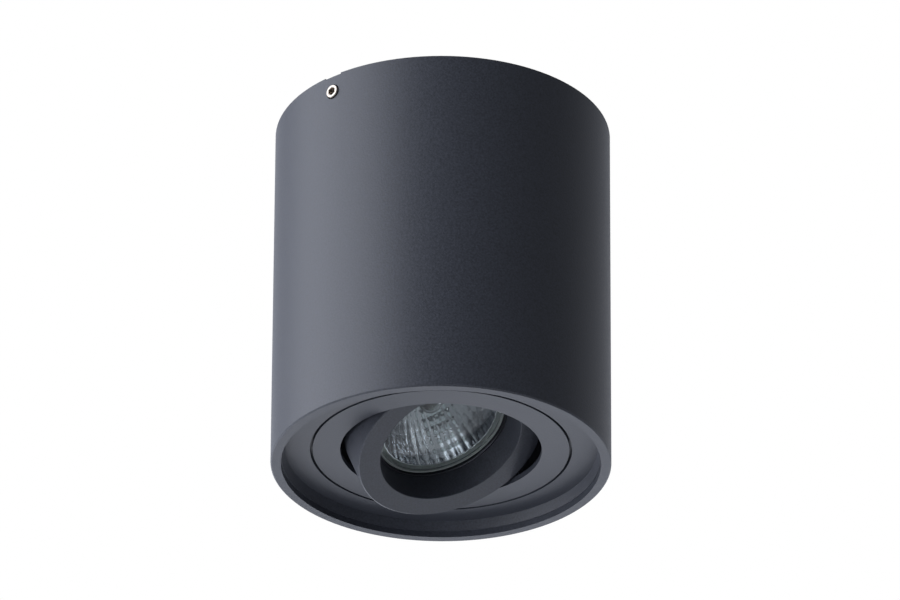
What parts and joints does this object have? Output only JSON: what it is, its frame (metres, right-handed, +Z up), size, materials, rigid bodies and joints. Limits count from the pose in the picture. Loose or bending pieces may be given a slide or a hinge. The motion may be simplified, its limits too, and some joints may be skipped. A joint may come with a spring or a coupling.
{
  "type": "ceiling spotlight",
  "caption": "Surface mounted cylindrical ceiling spotlight in anthracite, with a reflector lamp in a cup that swivels and tilts in its recessed mouth.",
  "frame": {"origin": "centre of the face that lies on the ceiling", "axes": "+Z up into the ceiling, +X along the mounting bracket"},
  "size_m": [0.1264, 0.125, 0.145],
  "materials": {
    "powder_coat": "fine-texture anthracite powder coat on aluminium",
    "nickel_screw": "bright nickel plate",
    "zinc_steel": "zinc plated sheet steel",
    "zinc_screw": "zinc plated",
    "spring_steel": "spring wire and strip",
    "brass": "turned",
    "lug_tin": "tinned copper alloy",
    "contact_nickel": "nickel plated brass",
    "block_nylon": "moulded polyamide",
    "bush_rubber": "moulded",
    "fibre": "pressed fibre",
    "wire_insulation": "silicone insulation",
    "earth_insulation": "silicone insulation",
    "glass_sleeving": "braided glass fibre",
    "clear_glass": "polished",
    "reflector_coat": "aluminium coat on pressed glass facets",
    "quartz": "polished",
    "tungsten": "drawn wire",
    "steatite": "unglazed"
  },
  "bodies": {
    "root": {"housing_tube": "powder_coat", "side_screws": "nickel_screw", "mounting_bracket": "zinc_steel", "cable_bush": "bush_rubber", "terminal_block": "block_nylon", "terminal_barrels": "brass", "terminal_screws": "zinc_screw", "block_screws": "zinc_screw", "earth_lug": "lug_tin", "earth_washer": "zinc_steel", "earth_screw": "zinc_screw", "earth_lead": "earth_insulation", "supply_leads": "wire_insulation", "face_ring": "powder_coat", "snap_ring": "spring_steel", "retainer_ring": "zinc_steel", "retainer_screws": "zinc_screw", "friction_ring": "fibre"},
    "swivel_carrier": {"swivel_ring": "powder_coat", "pivot_ears": "zinc_steel", "ear_screws": "zinc_screw", "lead_sleeve": "glass_sleeving", "lamp_leads": "wire_insulation"},
    "lamp_cup": {"tilt_cup": "powder_coat", "pivot_screws": "zinc_screw", "pivot_washers": "fibre", "lamp_spring_ring": "spring_steel", "lamp_front_glass": "clear_glass", "lamp_reflector": "reflector_coat", "lamp_capsule": "quartz", "lamp_filament": "tungsten", "filament_leads": "tungsten", "lamp_base": "steatite", "lamp_pins": "contact_nickel", "lampholder_body": "steatite", "lampholder_cover": "zinc_steel", "lampholder_contacts": "contact_nickel", "lampholder_screws": "zinc_screw"}
  },
  "joints": [
    {"name": "swivel", "type": "hinge", "parent": "root", "child": "swivel_carrier", "pos_m": [0, 0, -0.12015], "axis": [0, 0, 1], "range_deg": [-175, 175], "deforming": ["supply_leads"]},
    {"name": "tilt", "type": "hinge", "parent": "swivel_carrier", "child": "lamp_cup", "pos_m": [0, 0, -0.12015], "axis": [0.999, 0.0454, 0], "range_deg": [-5, 55], "deforming": ["lamp_leads"]}
  ]
}
